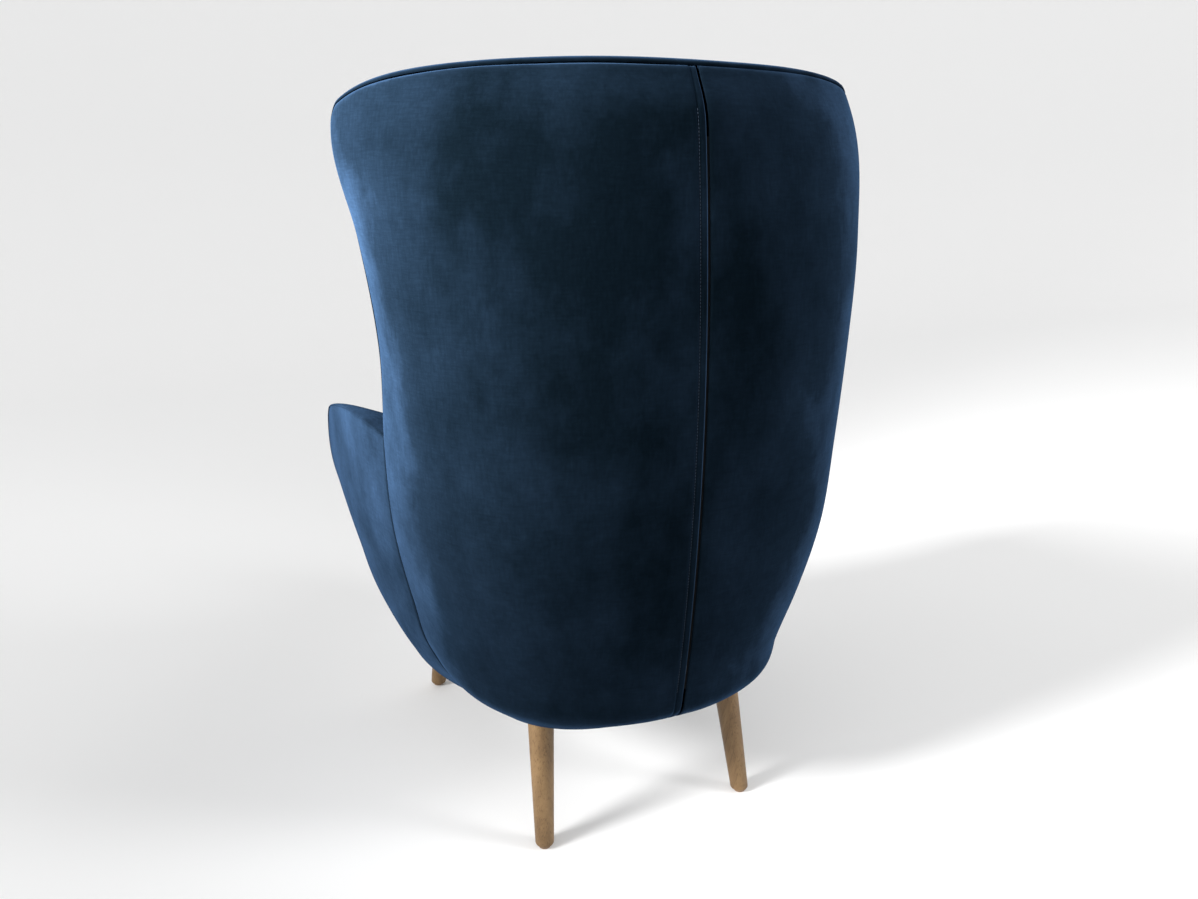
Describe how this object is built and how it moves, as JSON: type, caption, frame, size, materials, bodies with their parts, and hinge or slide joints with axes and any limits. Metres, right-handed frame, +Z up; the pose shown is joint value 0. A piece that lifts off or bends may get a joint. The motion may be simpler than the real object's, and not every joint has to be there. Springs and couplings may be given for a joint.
{
  "type": "wing-back lounge armchair",
  "caption": "High wing-back lounge armchair with a velvet cover zipped up the back, wrap-round arms, a loose seat cushion and splayed tapered wooden legs.",
  "frame": {"origin": "on the floor, on the chair's middle plane, below the middle of its depth", "axes": "+Z up, -Y the way the sitter faces, +X the sitter's left"},
  "size_m": [0.7798, 0.7402, 1.1188],
  "materials": {
    "velvet": "matte",
    "foam": "matte",
    "lining": "matte",
    "zip_tape": "matte",
    "zip_plastic": "satin",
    "zip_metal": "satin",
    "frame_steel": "satin",
    "bare_steel": "satin",
    "glide_plastic": "matte",
    "oak": "satin"
  },
  "bodies": {
    "chair": {"arm_band_left": "velvet", "arm_band_right": "velvet", "arm_foam_left": "foam", "arm_foam_right": "foam", "back_foam": "foam", "base_cloth": "lining", "frame_arm_hoop_left": "frame_steel", "frame_arm_hoop_right": "frame_steel", "frame_front_rail": "frame_steel", "frame_head_rail": "frame_steel", "frame_lumbar_rail": "frame_steel", "frame_rear_rail": "frame_steel", "frame_side_rail_left": "frame_steel", "frame_side_rail_right": "frame_steel", "frame_upright_left": "frame_steel", "frame_upright_right": "frame_steel", "frame_wing_hoop_left": "frame_steel", "frame_wing_hoop_right": "frame_steel", "front_cover": "velvet", "front_foam": "foam", "inner_arm_cover_left": "velvet", "inner_arm_cover_right": "velvet", "inner_back_cover": "velvet", "inner_wing_cover_left": "velvet", "inner_wing_cover_right": "velvet", "leg_front_left": "oak", "leg_front_right": "oak", "leg_glides": "glide_plastic", "leg_nuts": "bare_steel", "leg_plates": "frame_steel", "leg_rear_left": "oak", "leg_rear_right": "oak", "leg_studs": "bare_steel", "outer_arm_cover_left": "velvet", "outer_arm_cover_right": "velvet", "outer_back_cover_left": "velvet", "outer_back_cover_right": "velvet", "seat_deck_cover": "lining", "seat_deck_foam": "foam", "seat_springs": "bare_steel", "spring_clips": "bare_steel", "top_band": "velvet", "wing_band_left": "velvet", "wing_band_right": "velvet", "wing_foam_left": "foam", "wing_foam_right": "foam", "zip_coil_left": "zip_plastic", "zip_coil_right": "zip_plastic", "zip_stops": "zip_metal", "zip_tape_left": "zip_tape", "zip_tape_right": "zip_tape"},
    "slider": {"zip_slider": "zip_metal", "zip_pull": "zip_metal"},
    "cushion": {"seat_cushion_foam": "foam", "seat_cushion_cover": "velvet"}
  },
  "joints": [
    {"name": "zip_travel", "type": "hinge", "parent": "chair", "child": "slider", "pos_m": [0, -2.3765, 0.73], "axis": [1, 0, 0], "range_deg": [0, 14.63]},
    {"name": "cushion_lift", "type": "slide", "parent": "chair", "child": "cushion", "axis": [0, 0, 1], "range_m": [0, 0.2]}
  ]
}
